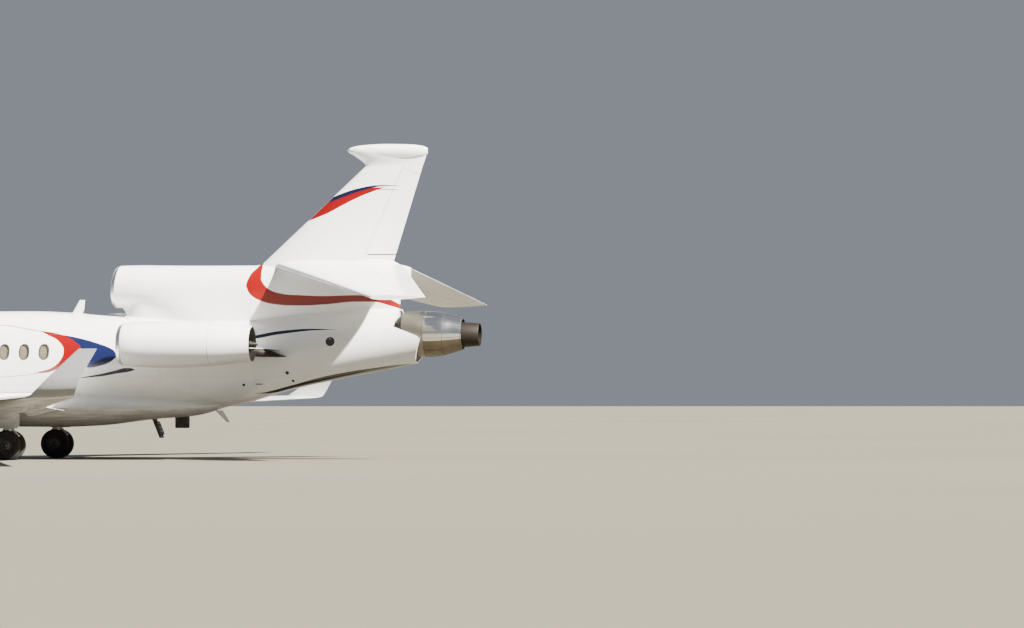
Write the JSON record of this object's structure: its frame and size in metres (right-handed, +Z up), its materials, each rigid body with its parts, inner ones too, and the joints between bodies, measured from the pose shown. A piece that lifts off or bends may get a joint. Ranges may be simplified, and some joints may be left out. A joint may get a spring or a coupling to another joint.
{
  "type": "business jet",
  "caption": "Long-range business jet with side engines and a centre engine, swept wings with winglets, hollow cabin, airstair door and moving control surfaces.",
  "frame": {"origin": "on the ground under the middle of the length and width", "axes": "+X aft, +Y to starboard, +Z up; the nose points along -X"},
  "size_m": [23.38, 26.2164, 7.93],
  "materials": {
    "white_metal": "gloss white paint with red, blue and grey bands",
    "white_composite": "gloss white paint on composite skin",
    "gear_paint": "satin light grey paint",
    "polished_steel": "polished bare metal",
    "burnt_steel": "heat-darkened bare metal",
    "engine_metal": "satin bare metal",
    "dark_paint": "matt dark paint",
    "tyre_rubber": "matt black rubber",
    "window_glass": "tinted glass",
    "cream_leather": "cream leather",
    "carpet": "short-pile carpet",
    "dark_trim": "matt dark trim"
  },
  "bodies": {
    "airframe": {"belly_fairing": "white_composite", "cabin_floor": "carpet", "cabin_seats_port": "cream_leather", "cabin_seats_starboard": "cream_leather", "cabin_section": "white_metal", "centre_engine": "engine_metal", "centre_exhaust": "burnt_steel", "centre_intake": "white_composite", "centre_nozzle": "polished_steel", "crew_seat_port": "cream_leather", "crew_seat_starboard": "cream_leather", "engine_core_port": "engine_metal", "engine_core_starboard": "engine_metal", "entry_section": "white_metal", "fin": "white_composite", "fin_bullet": "white_composite", "front_fuselage": "white_metal", "hatch_hinge": "gear_paint", "instrument_panel": "dark_trim", "main_leg_port": "gear_paint", "main_leg_starboard": "gear_paint", "nacelle_port": "white_composite", "nacelle_starboard": "white_composite", "nose_bay": "white_metal", "nose_leg": "gear_paint", "pylon_port": "white_metal", "pylon_starboard": "white_metal", "radome": "white_composite", "rear_fuselage": "white_metal", "tailplane_port": "white_composite", "tailplane_starboard": "white_composite", "windshield": "window_glass", "wing_port": "white_metal", "wing_starboard": "white_metal", "winglet_port": "white_composite", "winglet_starboard": "white_composite"},
    "nose_steering": {"nose_fork": "gear_paint"},
    "nose_wheels": {"nose_wheels": "gear_paint", "nose_tyre_starboard": "tyre_rubber", "nose_tyre_port": "tyre_rubber"},
    "passenger_door": {"passenger_door": "white_metal"},
    "belly_hatch": {"belly_hatch": "dark_paint"},
    "rudder": {"rudder": "white_composite"},
    "main_wheels_starboard": {"main_wheels_starboard": "gear_paint", "main_tyre_outer_starboard": "tyre_rubber", "main_tyre_inner_starboard": "tyre_rubber"},
    "fan_starboard": {"fan_starboard": "engine_metal"},
    "flap_inboard_starboard": {"flap_inboard_starboard": "white_composite"},
    "flap_outboard_starboard": {"flap_outboard_starboard": "white_composite"},
    "aileron_starboard": {"aileron_starboard": "white_composite"},
    "elevator_starboard": {"elevator_starboard": "white_composite"},
    "main_wheels_port": {"main_wheels_port": "gear_paint", "main_tyre_outer_port": "tyre_rubber", "main_tyre_inner_port": "tyre_rubber"},
    "fan_port": {"fan_port": "engine_metal"},
    "flap_inboard_port": {"flap_inboard_port": "white_composite"},
    "flap_outboard_port": {"flap_outboard_port": "white_composite"},
    "aileron_port": {"aileron_port": "white_composite"},
    "elevator_port": {"elevator_port": "white_composite"}
  },
  "joints": [
    {"name": "nose_steering", "type": "hinge", "parent": "airframe", "child": "nose_steering", "pos_m": [-8.44, 0, 0.9], "axis": [0, 0, 1], "range_deg": [-60, 60]},
    {"name": "nose_wheels_roll", "type": "hinge", "parent": "nose_steering", "child": "nose_wheels", "pos_m": [-8.44, 0, 0.222], "axis": [0, 1, 0], "continuous": true},
    {"name": "main_wheels_starboard_roll", "type": "hinge", "parent": "airframe", "child": "main_wheels_starboard", "pos_m": [0.14, 2.2, 0.372], "axis": [0, 1, 0], "continuous": true},
    {"name": "main_wheels_port_roll", "type": "hinge", "parent": "airframe", "child": "main_wheels_port", "pos_m": [0.14, -2.2, 0.372], "axis": [0, 1, 0], "continuous": true},
    {"name": "passenger_door_hinge", "type": "hinge", "parent": "airframe", "child": "passenger_door", "pos_m": [-7.66, -0.945, 1.59], "axis": [1, 0, 0], "range_deg": [0, 133]},
    {"name": "belly_hatch_hinge", "type": "hinge", "parent": "airframe", "child": "belly_hatch", "pos_m": [3.324, 0, 1.04], "axis": [0, 1, 0], "range_deg": [-72, 0]},
    {"name": "fan_starboard_spin", "type": "hinge", "parent": "airframe", "child": "fan_starboard", "pos_m": [3.71, 1.95, 2.88], "axis": [1, 0, 0], "continuous": true},
    {"name": "fan_port_spin", "type": "hinge", "parent": "airframe", "child": "fan_port", "pos_m": [3.71, -1.95, 2.88], "axis": [1, 0, 0], "continuous": true},
    {"name": "rudder_hinge", "type": "hinge", "parent": "airframe", "child": "rudder", "pos_m": [8.79, 0, 5.18], "axis": [0.4042, 0, 0.9147], "range_deg": [-25, 25]},
    {"name": "flap_inboard_starboard_hinge", "type": "hinge", "parent": "airframe", "child": "flap_inboard_starboard", "pos_m": [0.44, 1.64, 1.238], "axis": [0.1994, 0.9794, 0.0304], "range_deg": [0, 40]},
    {"name": "flap_inboard_port_hinge", "type": "hinge", "parent": "airframe", "child": "flap_inboard_port", "pos_m": [0.44, -1.64, 1.238], "axis": [-0.1994, 0.9794, -0.0304], "range_deg": [0, 40]},
    {"name": "flap_outboard_starboard_hinge", "type": "hinge", "parent": "airframe", "child": "flap_outboard_starboard", "pos_m": [1.11, 4.66, 1.33177], "axis": [0.3842, 0.9229, 0.0273], "range_deg": [0, 40]},
    {"name": "flap_outboard_port_hinge", "type": "hinge", "parent": "airframe", "child": "flap_outboard_port", "pos_m": [1.11, -4.66, 1.33177], "axis": [-0.3842, 0.9229, -0.0273], "range_deg": [0, 40]},
    {"name": "aileron_starboard_hinge", "type": "hinge", "parent": "airframe", "child": "aileron_starboard", "pos_m": [2.96, 9.14, 1.46428], "axis": [0.3954, 0.9181, 0.0281], "range_deg": [-25, 25]},
    {"name": "aileron_port_hinge", "type": "hinge", "parent": "airframe", "child": "aileron_port", "pos_m": [2.96, -9.14, 1.46428], "axis": [-0.3954, 0.9181, -0.0281], "range_deg": [-25, 25]},
    {"name": "elevator_starboard_hinge", "type": "hinge", "parent": "airframe", "child": "elevator_starboard", "pos_m": [8.97, 0.64, 4.76503], "axis": [0.423, 0.8845, -0.1967], "range_deg": [-20, 15]},
    {"name": "elevator_port_hinge", "type": "hinge", "parent": "airframe", "child": "elevator_port", "pos_m": [8.97, -0.64, 4.76503], "axis": [-0.423, 0.8845, 0.1967], "range_deg": [-20, 15]}
  ],
  "couplings": [
    {"joint": "elevator_port_hinge", "follows": "elevator_starboard_hinge", "ratio": 1},
    {"joint": "aileron_port_hinge", "follows": "aileron_starboard_hinge", "ratio": -1},
    {"joint": "flap_inboard_port_hinge", "follows": "flap_inboard_starboard_hinge", "ratio": 1},
    {"joint": "flap_outboard_starboard_hinge", "follows": "flap_inboard_starboard_hinge", "ratio": 1},
    {"joint": "flap_outboard_port_hinge", "follows": "flap_inboard_starboard_hinge", "ratio": 1}
  ]
}
